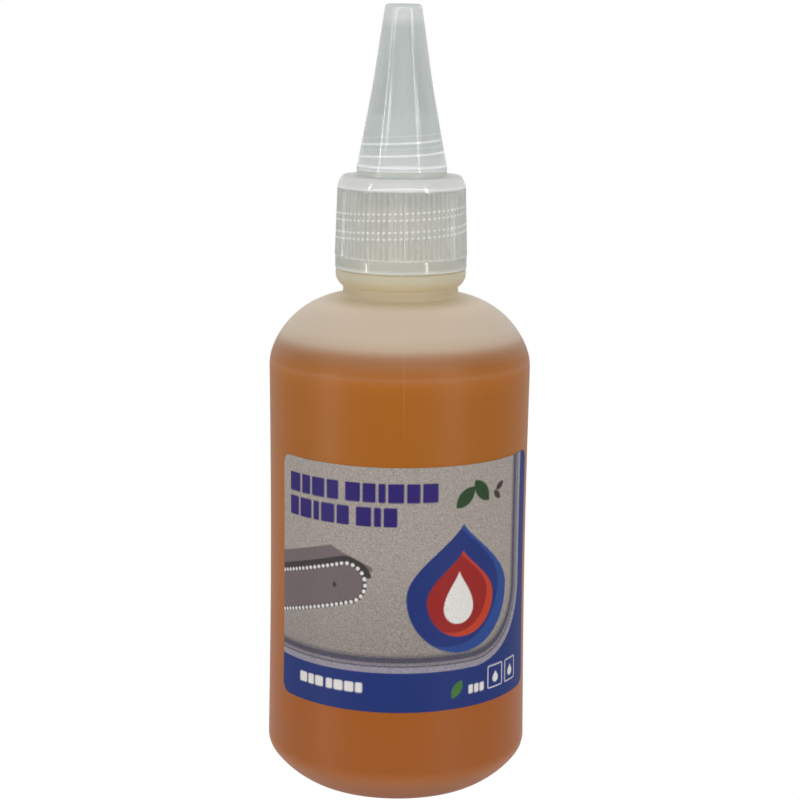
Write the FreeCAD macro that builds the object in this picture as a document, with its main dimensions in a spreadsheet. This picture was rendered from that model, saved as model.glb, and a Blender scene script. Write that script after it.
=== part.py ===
import FreeCAD, Part
import math
import os
from types import SimpleNamespace

import Sketcher
from FreeCAD import Vector

# Bar and chain oil bottle, millimetres, +Z up, front towards -Y, standing on z = 0

DRIVING_SIZES = {
    # bottle shell, from the base up
    "body_radius": 22.0,
    "wall": 0.9,
    "body_height": 72.06,
    "foot_flare": 0.28,
    "foot_height": 5.0,
    "foot_bevel": 5.08,
    "foot_arc_radius": 14.6,
    "foot_round": 0.8,
    "ring_width": 2.2,
    "push_up": 1.8,
    "push_up_run": 4.0,
    "waist_depth": 0.15,
    "ridge_round": 0.7,
    "shoulder_height": 10.84,
    "dome_radius": 14.06,
    "neck_root_height": 1.5,
    "neck_step": 1.0,
    "bead_overhang": 1.27,
    "bead_rise": 2.1,
    "bead_arc_radius": 2.6,
    "bead_land": 0.8,
    "neck_bore_radius": 7.3,
    "neck_wall": 1.35,
    "neck_height": 11.1,
    "lip_chamfer": 0.4,
    # fill and label
    "oil_over_ridge": 3.64,
    "oil_gap": 0.05,
    "label_bottom": 17.0,
    "label_height": 41.0,
    "label_angle": 133.0,
    "label_turn": 7.5,
    "label_glue": 0.03,
    "label_thickness": 0.1,
    "label_corner": 1.8,
    # cap gasket
    "seal_gap": 0.05,
    "gasket_thickness": 2.35,
    "gasket_side_gap": 0.35,
    "gasket_overlap": 0.7,
    # screw cap
    "cap_gap": 0.4,
    "neck_thread_room": 1.25,
    "cap_wall": 1.1,
    "cap_mouth_chamfer": 0.4,
    "cap_plate": 1.95,
    "band_height": 1.7,
    "rib_stand": 0.08,
    "rib_draft": 0.4,
    "rib_count": 72.0,
    "rib_groove_width": 0.62,
    "rib_groove_depth": 0.28,
    "shoulder_bevel_width": 0.73,
    "shoulder_bevel_height": 1.3,
    "cap_edge_chamfer": 0.4,
    # spout on the cap
    "spout_bore_radius": 3.1,
    "spout_wall": 1.25,
    "spout_height": 8.5,
    # nozzle washer
    "seat_gap": 0.04,
    "washer_thickness": 0.8,
    "washer_spout_gap": 0.95,
    "washer_setback": 0.05,
    # nozzle
    "nozzle_height": 27.02,
    "spout_thread_room": 0.85,
    "flange_width": 2.3,
    "flange_height": 0.85,
    "flare_height": 0.25,
    "flare_step": 0.28,
    "knee_radius": 4.95,
    "knee_height": 13.92,
    "tip_radius": 3.0,
    "tip_chamfer": 0.5,
    "tip_wall": 3.6,
    "tip_side_wall": 1.8,
    "socket_head_gap": 0.58,
    "socket_step": 0.8,
}

os.makedirs("parts", exist_ok=True)
doc = FreeCAD.newDocument("bar_oil_bottle")
sheet = doc.addObject("Spreadsheet::Sheet", "Sizes")
for row, (alias, value) in enumerate(DRIVING_SIZES.items(), start=1):
    sheet.set("A%d" % row, alias.replace("_", " "))
    sheet.set("B%d" % row, str(value))
    sheet.setAlias("B%d" % row, alias)
doc.recompute()


class Length:
    """A number that carries the sheet expression it comes from."""

    def __init__(self, value, text):
        self.value = float(value)
        self.text = text

    def joined(self, other, sign, value):
        text = other.text if isinstance(other, Length) else repr(other)
        return Length(value, "(%s %s %s)" % (self.text, sign, text))

    def __add__(self, other):
        return self.joined(other, "+", self.value + number(other))

    def __sub__(self, other):
        return self.joined(other, "-", self.value - number(other))

    def __mul__(self, other):
        return self.joined(other, "*", self.value * number(other))

    def __truediv__(self, other):
        return self.joined(other, "/", self.value / number(other))


def number(item):
    return item.value if isinstance(item, Length) else float(item)


def size(alias):
    return Length(sheet.get(alias), "Sizes.%s" % alias)


def root(item):
    return Length(math.sqrt(item.value), "sqrt(%s)" % item.text)


S = SimpleNamespace(**{alias: size(alias) for alias in DRIVING_SIZES})
ZERO = Length(0.0, "0")


def new_body(name):
    body = doc.addObject("PartDesign::Body", name)
    body.Label = name
    return body


def plane(body, role):
    return next(f for f in body.Origin.OriginFeatures if f.Role == role)


def bind(sketch, constraint, length):
    """Adds a dimension to a sketch and ties it to the sheet."""
    index = sketch.addConstraint(constraint)
    sketch.setExpression("Constraints[%d]" % index, length.text)


def place(sketch, geometry, end, x, y):
    """Holds one end of a line or arc at (x, y) from the sketch's origin."""
    for kind, length in (("DistanceX", x), ("DistanceY", y)):
        if length is ZERO:
            fixed = Sketcher.Constraint("PointOnObject", geometry, end, -2 if kind == "DistanceX" else -1)
            sketch.addConstraint(fixed)
        else:
            bind(sketch, Sketcher.Constraint(kind, -1, 1, geometry, end, length.value), length)


def arc_between(start, finish, radius):
    """The short arc from start to finish; a positive radius bulges to the right of the way along it."""
    chord = finish - start
    middle = (start + finish) * 0.5
    right = Vector(chord.y, -chord.x, 0).normalize()
    rise = math.sqrt(radius ** 2 - (chord.Length / 2) ** 2)
    side = 1 if radius > 0 else -1
    through = middle + right * side * (abs(radius) - rise)
    return Part.Arc(start, through, finish)


def outline(body, name, corners, role="XZ_Plane"):
    """A closed sketch through corners (x, y, radius of the arc to the next corner or None)."""
    sketch = body.newObject("Sketcher::SketchObject", name)
    sketch.AttachmentSupport = [(plane(body, role), "")]
    sketch.MapMode = "FlatFace"
    points = [Vector(x.value, y.value, 0) for x, y, _ in corners]
    ends = []
    for index, (_, _, radius) in enumerate(corners):
        start, finish = points[index], points[(index + 1) % len(points)]
        if radius is None:
            added = sketch.addGeometry(Part.LineSegment(start, finish), False)
            ends.append((added, 1, 2, None))
            continue
        side, length = radius
        curve = arc_between(start, finish, side * length.value).toShape().Curve
        centre = curve.Center
        flipped = (start - centre).cross(finish - centre).z < 0
        first, last = (finish, start) if flipped else (start, finish)
        angles = [math.atan2(p.y - centre.y, p.x - centre.x) for p in (first, last)]
        if angles[1] < angles[0]:
            angles[1] += 2 * math.pi
        circle = Part.Circle(centre, Vector(0, 0, 1), length.value)
        added = sketch.addGeometry(Part.ArcOfCircle(circle, *angles), False)
        ends.append((added, 2, 1, length) if flipped else (added, 1, 2, length))
    for index, (added, start_end, _, length) in enumerate(ends):
        before, _, finish_end, _ = ends[index - 1]
        sketch.addConstraint(Sketcher.Constraint("Coincident", before, finish_end, added, start_end))
        x, y, _ = corners[index]
        place(sketch, added, start_end, x, y)
        if length is not None:
            bind(sketch, Sketcher.Constraint("Radius", added, length.value), length)
    doc.recompute()
    return sketch


def revolved(body, kind, name, sketch):
    feature = body.newObject("PartDesign::%s" % kind, name)
    feature.Profile = sketch
    feature.ReferenceAxis = (sketch, ["V_Axis"])
    feature.Angle = 360.0
    sketch.Visibility = False
    doc.recompute()
    return feature


def rounded_edges(body, name, radius, chosen):
    """A fillet on the body's edges for which chosen(edge) is true."""
    base = body.Tip
    names = ["Edge%d" % (i + 1) for i, edge in enumerate(base.Shape.Edges) if chosen(edge)]
    fillet = body.newObject("PartDesign::Fillet", name)
    fillet.Base = (base, names)
    fillet.setExpression("Radius", radius.text)
    doc.recompute()
    return fillet


def ring_edge(radius, height):
    """A test for the circular edge of this radius at this height round the axis."""

    def chosen(edge):
        curve = edge.Curve
        if not isinstance(curve, Part.Circle):
            return False
        return abs(curve.Radius - radius.value) < 0.01 and abs(curve.Center.z - height.value) < 0.01

    return chosen


# Heights and radii that follow from the sheet, from the base up
FRONT = -90.0
foot_radius = S.body_radius + S.foot_flare
ring_outer = foot_radius - S.foot_bevel
ring_inner = ring_outer - S.ring_width
push_up_radius = ring_inner - S.push_up_run
ridge = S.body_height
waist_height = (S.foot_height + ridge) / 2
waist_radius = S.body_radius - S.waist_depth
neck_wall_radius = S.neck_bore_radius + S.neck_wall
neck_radius = neck_wall_radius + S.neck_step
bead_radius = neck_radius + S.bead_overhang
dome_top = ridge + S.shoulder_height
bead_bottom = dome_top + S.neck_root_height
bead_full = bead_bottom + S.bead_rise
bead_top = bead_full + S.bead_land
lip = bead_top + S.neck_height
cap_bore_radius = neck_wall_radius + S.neck_thread_room
cap_bottom = bead_top + S.cap_gap
gasket_low = lip + S.seal_gap
gasket_high = gasket_low + S.gasket_thickness
cap_ceiling = gasket_high + S.seal_gap
cap_top = cap_ceiling + S.cap_plate
spout_radius = S.spout_bore_radius + S.spout_wall
spout_top = cap_top + S.spout_height
socket_radius = spout_radius + S.spout_thread_room
flange_radius = socket_radius + S.flange_width
washer_low = cap_top + S.seat_gap
washer_high = washer_low + S.washer_thickness
nozzle_foot = washer_high + S.seat_gap
nozzle_top = nozzle_foot + S.nozzle_height

# Centre of the shoulder's arc, from its two ends and its radius
dome_run = neck_radius - S.body_radius
dome_chord = root(dome_run * dome_run + S.shoulder_height * S.shoulder_height)
dome_offset = root(S.dome_radius * S.dome_radius - dome_chord * dome_chord / 4)
dome_axis = (S.body_radius + neck_radius) / 2 - S.shoulder_height / dome_chord * dome_offset
dome_level = (ridge + dome_top) / 2 + dome_run / dome_chord * dome_offset


def on_dome(radius, at):
    """Height of an arc about the dome's centre, of this radius, at a distance from the axis."""
    across = at - dome_axis
    return dome_level + root(radius * radius - across * across)


def across_dome(radius, height):
    """Distance from the axis of an arc about the dome's centre, of this radius, at a height."""
    rise = height - dome_level
    return dome_axis + root(radius * radius - rise * rise)


def side_radius(height):
    """Outer radius of the waisted side at a height: two cones that meet at the waist."""
    below = height.value < waist_height.value
    end, end_height = (foot_radius, S.foot_height) if below else (S.body_radius, ridge)
    return waist_radius + (end - waist_radius) * (height - waist_height) / (end_height - waist_height)


def ring_section(body, name, inner, outer, low, high):
    return outline(
        body,
        name,
        [(inner, low, None), (outer, low, None), (outer, high, None), (inner, high, None)],
    )


# Bottle: outer revolve, cavity, rounded edges
bottle = new_body("bottle")
bottle_outer = outline(
    bottle,
    "bottle_outer",
    [
        (ZERO, S.push_up, None),
        (push_up_radius, S.push_up, None),
        (ring_inner, ZERO, None),
        (ring_outer, ZERO, (1, S.foot_arc_radius)),
        (foot_radius, S.foot_height, None),
        (waist_radius, waist_height, None),
        (S.body_radius, ridge, (1, S.dome_radius)),
        (neck_radius, dome_top, None),
        (neck_radius, bead_bottom, (1, S.bead_arc_radius)),
        (bead_radius, bead_full, None),
        (bead_radius, bead_top, None),
        (neck_wall_radius, bead_top, None),
        (neck_wall_radius, lip - S.lip_chamfer, None),
        (neck_wall_radius - S.lip_chamfer, lip, None),
        (ZERO, lip, None),
    ],
)
revolved(bottle, "Revolution", "bottle_blank", bottle_outer)
inner_dome = S.dome_radius - S.wall
cavity_radius = waist_radius - S.wall
above_lip = lip + S.wall
bottle_cavity = outline(
    bottle,
    "bottle_cavity",
    [
        (ZERO, S.push_up + S.wall, None),
        (push_up_radius, S.push_up + S.wall, None),
        (ring_inner, S.wall, None),
        (ring_outer, S.wall, (1, S.foot_arc_radius)),
        (cavity_radius, S.foot_height, None),
        (cavity_radius, on_dome(inner_dome, cavity_radius), (1, inner_dome)),
        (S.neck_bore_radius, on_dome(inner_dome, S.neck_bore_radius), None),
        (S.neck_bore_radius, above_lip, None),
        (ZERO, above_lip, None),
    ],
)
blank_volume = bottle.Shape.Volume
revolved(bottle, "Groove", "bottle_hollow", bottle_cavity)
assert bottle.Shape.Volume < blank_volume, "the cavity cuts nothing"
rounded_edges(bottle, "ridge_rounding", S.ridge_round, ring_edge(S.body_radius, ridge))
rounded_edges(bottle, "foot_rounding", S.foot_round, ring_edge(foot_radius, S.foot_height))

# Oil: a plain fill of the cavity up to its level
oil = new_body("oil")
oil_level = ridge + S.oil_over_ridge
oil_dome = inner_dome - S.oil_gap
oil_radius = cavity_radius - S.oil_gap
oil_floor = S.wall + S.oil_gap
oil_section = outline(
    oil,
    "oil_section",
    [
        (ZERO, S.push_up + oil_floor, None),
        (push_up_radius, S.push_up + oil_floor, None),
        (ring_inner, oil_floor, None),
        (ring_outer - S.oil_gap, oil_floor, None),
        (oil_radius, S.foot_height, None),
        (oil_radius, on_dome(oil_dome, oil_radius), None),
        (across_dome(oil_dome, oil_level), oil_level, None),
        (ZERO, oil_level, None),
    ],
)
revolved(oil, "Revolution", "oil_fill", oil_section)

# Label: a thin sheet bent round the waisted side, with rounded corners
label = new_body("label")
label_top = S.label_bottom + S.label_height
under_low = side_radius(S.label_bottom) + S.label_glue
under_waist = waist_radius + S.label_glue
under_high = side_radius(label_top) + S.label_glue
label_section = outline(
    label,
    "label_section",
    [
        (under_low, S.label_bottom, None),
        (under_low + S.label_thickness, S.label_bottom, None),
        (under_waist + S.label_thickness, waist_height, None),
        (under_high + S.label_thickness, label_top, None),
        (under_high, label_top, None),
        (under_waist, waist_height, None),
    ],
)
label_sheet = label.newObject("PartDesign::Revolution", "label_sheet")
label_sheet.Profile = label_section
label_sheet.ReferenceAxis = (label_section, ["V_Axis"])
label_sheet.setExpression("Angle", S.label_angle.text)
label_sheet.Midplane = True
label_section.Visibility = False
doc.recompute()


def corner_edge(edge):
    """True for the short edges through the sheet's thickness at its top and bottom."""
    ends = [abs(v.Point.z - end.value) for v in edge.Vertexes for end in (S.label_bottom, label_top)]
    return edge.Length < 2 * S.label_thickness.value and min(ends) < 1e-6


rounded_edges(label, "label_corners", S.label_corner, corner_edge)
label.Placement = FreeCAD.Placement(Vector(), FreeCAD.Rotation(Vector(0, 0, 1), FRONT + S.label_turn.value))

# Cap gasket: a flat ring on the neck's lip
gasket = new_body("cap_gasket")
gasket_outer = cap_bore_radius - S.gasket_side_gap
gasket_inner = S.neck_bore_radius - S.gasket_overlap
gasket_section = ring_section(gasket, "gasket_section", gasket_inner, gasket_outer, gasket_low, gasket_high)
revolved(gasket, "Revolution", "gasket_ring", gasket_section)

# Screw cap: blank with spout, bore, ribs
cap = new_body("screw_cap")
band_radius = cap_bore_radius + S.cap_wall
band_top = cap_bottom + S.band_height
rib_bottom_radius = band_radius + S.rib_stand
rib_top_radius = rib_bottom_radius - S.rib_draft
shoulder_top = cap_top - S.cap_edge_chamfer
rib_top = shoulder_top - S.shoulder_bevel_height
shoulder_radius = rib_top_radius - S.shoulder_bevel_width
cap_outer = outline(
    cap,
    "cap_outer",
    [
        (ZERO, cap_bottom, None),
        (band_radius, cap_bottom, None),
        (band_radius, band_top, None),
        (rib_bottom_radius, band_top + S.rib_groove_depth, None),
        (rib_top_radius, rib_top, None),
        (shoulder_radius, shoulder_top, None),
        (shoulder_radius - S.cap_edge_chamfer, cap_top, None),
        (spout_radius, cap_top, None),
        (spout_radius, spout_top, None),
        (ZERO, spout_top, None),
    ],
)
revolved(cap, "Revolution", "cap_blank", cap_outer)
mouth_radius = cap_bore_radius + S.cap_mouth_chamfer
below_cap = cap_bottom - S.cap_wall
above_spout = spout_top + S.spout_wall
cap_inner = outline(
    cap,
    "cap_inner",
    [
        (ZERO, below_cap, None),
        (mouth_radius, below_cap, None),
        (mouth_radius, cap_bottom, None),
        (cap_bore_radius, cap_bottom + S.cap_mouth_chamfer, None),
        (cap_bore_radius, cap_ceiling, None),
        (S.spout_bore_radius, cap_ceiling, None),
        (S.spout_bore_radius, above_spout, None),
        (ZERO, above_spout, None),
    ],
)
revolved(cap, "Groove", "cap_bore", cap_inner)

# Ribs: V grooves that follow the skirt's draft, repeated round the axis
rib_run = rib_top - band_top
groove_top = rib_top + S.rib_groove_depth
groove_run = groove_top - band_top
groove_root = rib_top_radius - S.rib_groove_depth
groove_mouth = rib_top_radius + S.rib_groove_depth
groove_section = cap.newObject("Sketcher::SketchObject", "rib_groove_section")
groove_section.AttachmentSupport = [(plane(cap, "XY_Plane"), "")]
groove_section.MapMode = "FlatFace"
groove_section.setExpression("AttachmentOffset.Base.z", groove_top.text)
groove_corners = [
    Vector(groove_root.value, 0, 0),
    Vector(groove_mouth.value, -S.rib_groove_width.value, 0),
    Vector(groove_mouth.value, S.rib_groove_width.value, 0),
]
for start, finish in zip(groove_corners, groove_corners[1:] + groove_corners[:1]):
    groove_section.addGeometry(Part.LineSegment(start, finish), False)
for side in range(3):
    groove_section.addConstraint(Sketcher.Constraint("Coincident", side, 2, (side + 1) % 3, 1))
groove_section.addConstraint(Sketcher.Constraint("PointOnObject", 0, 1, -1))
groove_section.addConstraint(Sketcher.Constraint("Symmetric", 0, 2, 1, 2, -1))
bind(groove_section, Sketcher.Constraint("DistanceX", -1, 1, 0, 1, groove_root.value), groove_root)
bind(groove_section, Sketcher.Constraint("DistanceX", -1, 1, 0, 2, groove_mouth.value), groove_mouth)
groove_width = S.rib_groove_width * 2
bind(groove_section, Sketcher.Constraint("DistanceY", 0, 2, 1, 2, groove_width.value), groove_width)
doc.recompute()
plain_volume = cap.Shape.Volume
groove = cap.newObject("PartDesign::Pocket", "rib_groove")
groove.Profile = groove_section
groove.Type = "Length"
groove.setExpression("Length", groove_run.text)
groove.UseCustomVector = True
groove.Direction = Vector(S.rib_draft.value / rib_run.value, 0, -1)
groove.AlongSketchNormal = True
groove_section.Visibility = False
doc.recompute()
assert groove.Shape.Volume < plain_volume, "the rib groove cuts nothing"
ribs = cap.newObject("PartDesign::PolarPattern", "ribs")
ribs.Originals = [groove]
ribs.Axis = (cap_outer, ["V_Axis"])
ribs.Angle = 360.0
ribs.setExpression("Occurrences", S.rib_count.text)
cap.Tip = ribs
doc.recompute()

# Nozzle washer: a flat ring on the cap's top
washer = new_body("nozzle_washer")
washer_inner = spout_radius + S.washer_spout_gap
washer_outer = flange_radius - S.washer_setback
washer_section = ring_section(washer, "washer_section", washer_inner, washer_outer, washer_low, washer_high)
revolved(washer, "Revolution", "washer_ring", washer_section)

# Nozzle: cone with a flanged foot, hollow with a socket for the spout
nozzle = new_body("nozzle")
flange_top = nozzle_foot + S.flange_height
nozzle_outer = outline(
    nozzle,
    "nozzle_outer",
    [
        (ZERO, nozzle_foot, None),
        (flange_radius, nozzle_foot, None),
        (flange_radius, flange_top, None),
        (flange_radius - S.flare_step, flange_top + S.flare_height, None),
        (S.knee_radius, nozzle_foot + S.knee_height, None),
        (S.tip_radius, nozzle_top - S.tip_chamfer, None),
        (S.tip_radius - S.tip_chamfer, nozzle_top, None),
        (ZERO, nozzle_top, None),
    ],
)
revolved(nozzle, "Revolution", "nozzle_blank", nozzle_outer)
socket_top = spout_top + S.socket_head_gap
below_foot = nozzle_foot - S.flange_height
hollow_top = nozzle_top - S.tip_wall
nozzle_inner = outline(
    nozzle,
    "nozzle_inner",
    [
        (ZERO, below_foot, None),
        (socket_radius, below_foot, None),
        (socket_radius, socket_top, None),
        (socket_radius - S.socket_step, socket_top + S.socket_step, None),
        (S.tip_radius - S.tip_side_wall, hollow_top, None),
        (ZERO, hollow_top, None),
    ],
)
revolved(nozzle, "Groove", "nozzle_hollow", nozzle_inner)

doc.recompute()
for item in doc.Objects:
    assert not {"Invalid", "Error"} & set(item.State), "%s: %s" % (item.Name, item.State)
for body in (bottle, oil, label, gasket, cap, washer, nozzle):
    shape = body.Shape
    assert not shape.isNull() and shape.isValid(), "%s has no valid shape" % body.Label
    assert len(shape.Solids) == 1, "%s is %d solids" % (body.Label, len(shape.Solids))
    shape.exportStep("parts/%s.step" % body.Label)
    print(body.Label, "%.1f mm3" % shape.Volume)
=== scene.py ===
# Look of the bar and chain oil bottle, built round its CAD frame; metres, +Z up, front towards -Y
import math

import bpy
import numpy as np
from bpy.props import FloatProperty, FloatVectorProperty, IntProperty, PointerProperty
from bpy.types import Operator, Panel, PropertyGroup
from mathutils import Matrix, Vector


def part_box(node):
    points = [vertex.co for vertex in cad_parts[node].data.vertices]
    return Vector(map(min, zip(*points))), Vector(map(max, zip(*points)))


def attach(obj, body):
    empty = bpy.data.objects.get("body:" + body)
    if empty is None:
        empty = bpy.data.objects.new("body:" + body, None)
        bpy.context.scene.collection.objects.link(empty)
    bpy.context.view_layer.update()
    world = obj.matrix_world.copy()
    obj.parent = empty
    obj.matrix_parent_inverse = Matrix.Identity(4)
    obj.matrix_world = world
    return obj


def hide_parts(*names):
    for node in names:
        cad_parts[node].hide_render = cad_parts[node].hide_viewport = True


bl_info = {
    "name": "Bar and Chain Oil Bottle",
    "version": (1, 0, 0),
    "blender": (4, 5, 0),
    "location": "3D View > Sidebar > Oil Bottle",
    "description": "Builds a small bottle of saw chain oil with a ribbed cap and a pointed nozzle",
    "category": "Add Mesh",
}

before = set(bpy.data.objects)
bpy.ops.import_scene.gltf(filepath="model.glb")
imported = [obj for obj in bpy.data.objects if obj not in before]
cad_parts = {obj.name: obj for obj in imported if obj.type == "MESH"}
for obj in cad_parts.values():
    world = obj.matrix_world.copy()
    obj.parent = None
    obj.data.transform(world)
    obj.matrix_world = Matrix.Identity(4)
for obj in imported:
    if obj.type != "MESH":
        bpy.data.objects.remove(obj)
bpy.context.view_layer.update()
MM = 0.001
FULL_TURN = 2 * math.pi
FRONT = -math.pi / 2
SHARP_ANGLE = math.radians(40)
HAIR = 0.01 * MM
ON_AXIS = 1e-9
SAME_POINT = 1e-7
THREAD_RUN_OUT = 0.1
BOTTLE_SIDES, OIL_SIDES, NOZZLE_SIDES, RIB_SIDES = 252, 144, 240, 6
MATTE_ROUGHNESS = 0.5
SENSOR = 36.0
WHITE = (1.0, 1.0, 1.0, 1.0)


def low(node):
    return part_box(node)[0][2]


def high(node):
    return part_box(node)[1][2]


def reach(node):
    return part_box(node)[1][0]


def length(name, description, millimetres):
    size = millimetres * MM
    return FloatProperty(name=name, description=description, default=size, unit="LENGTH", precision=5)


def ratio(name, description, value):
    return FloatProperty(name=name, description=description, default=value, min=0.0)


def angle(name, description, degrees):
    turn = math.radians(degrees)
    return FloatProperty(name=name, description=description, default=turn, subtype="ANGLE")


def display_colour(red, green, blue):
    """Linear colour of a display value: the power 2.4 curve, with its straight foot."""
    share = np.array([red, green, blue]) / 255.0
    return np.where(share <= 0.04045, share / 12.92, ((share + 0.055) / 1.055) ** 2.4)


def colour(name, description, *display):
    tone = [float(part) for part in display_colour(*display)]
    return FloatVectorProperty(
        name=name, description=description, default=tone, subtype="COLOR", min=0.0, max=1.0
    )


class OilBottleShell(PropertyGroup):
    wall: length("Wall", "Thickness of the blown wall", 0.9)
    body_radius: length("Body radius", "Radius at the shoulder's corner", 22.0)
    body_height: length("Body height", "Height of the shoulder's corner", 72.06)
    waist_depth: length("Waist depth", "How far the side draws in half way up", 0.15)
    foot_height: length("Foot height", "Height of the rounded foot", 5.0)
    foot_bevel: length("Foot bevel", "How far the foot draws in to the standing ring", 5.08)
    foot_arc_radius: length("Foot arc", "Radius of the foot's curve", 14.6)
    foot_round: length("Foot round", "Rounding between foot and side", 1.1)
    ring_width: length("Ring width", "Width of the standing ring", 2.2)
    push_up: length("Push-up", "Rise of the underside", 1.8)
    push_up_run: length("Push-up run", "Width of the slope up to the underside", 4.0)
    ridge_round: length("Ridge round", "Rounding of the shoulder's corner", 1.2)
    shoulder_height: length("Shoulder height", "Rise of the domed shoulder", 10.84)
    dome_radius: length("Dome radius", "Radius of the shoulder's curve", 14.06)
    root_round: length("Root round", "Rounding between shoulder and neck", 0.9)
    root_height: length("Root height", "Plain neck under the bead", 1.5)
    bead_overhang: length("Bead overhang", "How far the bead stands out", 1.27)
    bead_rise: length("Bead rise", "Height of the bead's curve", 2.1)
    bead_arc_radius: length("Bead arc", "Radius of the bead's curve", 2.6)
    bead_land: length("Bead land", "Straight edge of the bead", 0.8)
    neck_bore_radius: length("Neck bore", "Radius of the pouring hole", 7.3)
    neck_wall: length("Neck wall", "Thickness of the neck", 1.35)
    neck_step: length("Neck step", "How much wider the neck is under the bead", 1.0)
    lip_round: length("Lip round", "Rounding of the lip", 0.4)
    seam_turn: angle("Seam turn", "Where the parting lines lie, right of the front and of the back", 1.95)
    seam_spread: angle("Seam spread", "Half width of the parting line", 0.3)
    seam_rise: length("Seam rise", "Height of the parting line", 0.02)
    oil_gap: length("Oil gap", "Gap between the oil and the wall", 0.05)
    oil_sag: length("Oil sag", "How far the oil's surface lies below its rim", 0.6)
    oil_sag_run: length("Oil sag run", "Width of the curve up to that rim", 2.5)


class OilBottleThread(PropertyGroup):
    lead: length("Lead", "Rise in one turn", 3.0)
    start: length("Start", "Height of the thread's start over its foot", 4.3)
    turns: ratio("Turns", "Number of turns", 2.0)
    depth: length("Depth", "How far the thread stands out", 0.85)
    base: length("Base", "Width of the thread at its root", 1.5)
    crest: length("Crest", "Width of the thread at its top", 0.6)


class OilBottleCap(PropertyGroup):
    thread_room: length("Thread room", "Gap between the neck's wall and the cap's bore", 1.25)
    seal_gap: length("Seal gap", "Gap between the gasket and the cap", 0.05)
    mouth_chamfer: length("Mouth chamfer", "Bevel inside the cap's mouth", 0.4)
    band_height: length("Band height", "Height of the plain band under the ribs", 1.7)
    band_slope: length("Band slope", "Height of the slope from the band out to the ribs", 0.3)
    band_round: length("Band round", "Rounding of the band's lower edge", 0.25)
    band_step: length("Band step", "How far the band lies inside the ribs", 0.08)
    rib_draft: length("Rib draft", "How much narrower the skirt is at the top", 0.4)
    rib_depth: length("Rib depth", "Depth of the grooves between the ribs", 0.26)
    rib_count: IntProperty(name="Ribs", description="Number of ribs round the skirt", default=72, min=12)
    bevel_width: length("Bevel width", "Width of the sloped shoulder", 0.5)
    bevel_height: length("Bevel height", "Height of the sloped shoulder", 1.3)
    shoulder_round: length("Shoulder round", "Rounding between ribs and shoulder", 0.65)
    edge_chamfer: length("Edge chamfer", "Bevel of the top edge", 0.4)
    edge_round: length("Edge round", "Rounding between the shoulder and that bevel", 0.3)
    skirt_drop: length("Skirt drop", "How far the skirt's edge comes down towards the bead", 0.3)
    bead_gap: length("Bead gap", "Gap between the solid's skirt and the bead", 0.4)
    plate: length("Plate", "Thickness of the top", 1.95)
    spout_bore: length("Spout bore", "Radius of the hole through the spout", 3.1)
    spout_wall: length("Spout wall", "Thickness of the spout", 1.25)


class OilBottleNozzle(PropertyGroup):
    thread_room: length("Thread room", "Gap between the spout's wall and the nozzle's socket", 0.85)
    flange_height: length("Flange height", "Height of the plain foot", 0.85)
    flange_round: length("Flange round", "Rounding of the foot's upper edge", 0.2)
    flare_height: length("Flare height", "Height of the slope over the foot", 0.25)
    flare_step: length("Flare step", "How far the cone's foot lies inside the flange", 0.14)
    knee_radius: length("Knee radius", "Radius where the cone gets steeper", 4.95)
    knee_height: length("Knee height", "Height of that place over the foot", 13.92)
    knee_round: length("Knee round", "Rounding where the cone gets steeper", 3.0)
    tip_radius: length("Tip radius", "Radius of the tip", 3.0)
    tip_round: length("Tip round", "Rounding of the tip", 0.7)
    tip_wall: length("Tip wall", "Thickness of the closed tip", 3.6)
    tip_side_wall: length("Tip side wall", "Thickness of the wall at the tip", 1.8)
    socket_gap: length("Socket gap", "Room over the spout", 0.58)
    socket_step: length("Socket step", "Slope at the socket's end", 0.8)


class OilBottleLabel(PropertyGroup):
    spread: angle("Spread", "How far the label goes round", 133.0)
    turn: angle("Turn", "How far its middle lies to the right of the front", 7.5)
    glue: length("Glue", "Thickness of the glue", 0.03)
    thickness: length("Thickness", "Thickness of the film", 0.1)
    corner: length("Corner", "Radius of its corners", 1.8)
    spacing: length("Spacing", "Grid spacing of the printed face", 0.17)


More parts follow.
